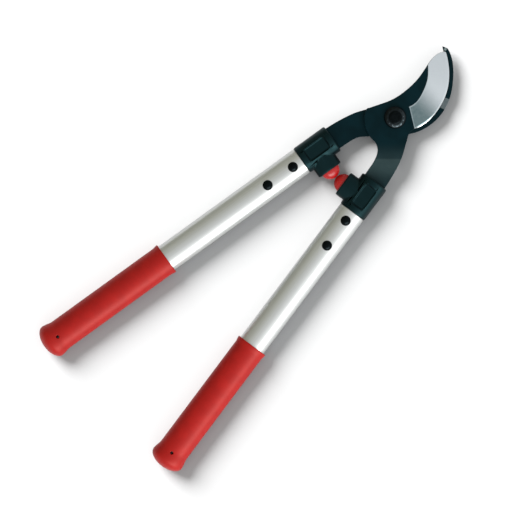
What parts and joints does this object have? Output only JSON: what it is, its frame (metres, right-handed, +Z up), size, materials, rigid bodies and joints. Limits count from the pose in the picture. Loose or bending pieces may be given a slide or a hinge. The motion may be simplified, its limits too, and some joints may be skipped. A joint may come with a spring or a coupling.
{
  "type": "bypass loppers",
  "caption": "Two-handed bypass loppers: curved cutting blade closing past a hooked counter blade, oval aluminium handles, soft grips and rubber bumpers.",
  "frame": {"origin": "on the pivot axis, at the flat underside of the pivot nut, which with the two grips carries the tool when it lies down", "axes": "+Y from the handles to the blades along the handles' centre line, +X to the cutting blade's handle, +Z up along the pivot axis to the bolt head"},
  "size_m": [0.1991, 0.497, 0.0264],
  "materials": {
    "hook_steel": "forged carbon steel, baked blue-black coating, bare sap groove",
    "blade_steel": "hardened steel, baked blue-black coating, ground bevel left bright",
    "bolt_steel": "black oxide steel, satin",
    "nut_steel": "zinc-plated steel, satin",
    "washer_nylon": "black nylon",
    "bush_bronze": "sintered bronze, oil-filled",
    "socket_nylon": "black glass-filled nylon, finely grained",
    "bumper_rubber": "red elastomer, smooth",
    "tube_aluminium": "satin anodised extruded oval tube",
    "rivet_steel": "black steel, domed head",
    "plug_plastic": "black polyethylene",
    "grip_vinyl": "soft red vinyl, satin"
  },
  "bodies": {
    "hook_side": {"hook_blade": "hook_steel", "pivot_bolt": "bolt_steel", "thrust_washer": "washer_nylon", "pivot_nut": "nut_steel", "lock_plate": "nut_steel", "lock_screw": "nut_steel", "hook_socket": "socket_nylon", "hook_bumper": "bumper_rubber", "hook_tube": "tube_aluminium", "hook_rivets": "rivet_steel", "hook_end_plug": "plug_plastic", "hook_grip": "grip_vinyl"},
    "blade_side": {"cutting_blade": "blade_steel", "pivot_bush": "bush_bronze", "blade_socket": "socket_nylon", "blade_bumper": "bumper_rubber", "blade_tube": "tube_aluminium", "blade_rivets": "rivet_steel", "blade_end_plug": "plug_plastic", "blade_grip": "grip_vinyl"}
  },
  "joints": [
    {"name": "pivot", "type": "hinge", "parent": "hook_side", "child": "blade_side", "pos_m": [0, 0, 0.01322], "axis": [0, 0, 1], "range_deg": [0, 55]}
  ]
}
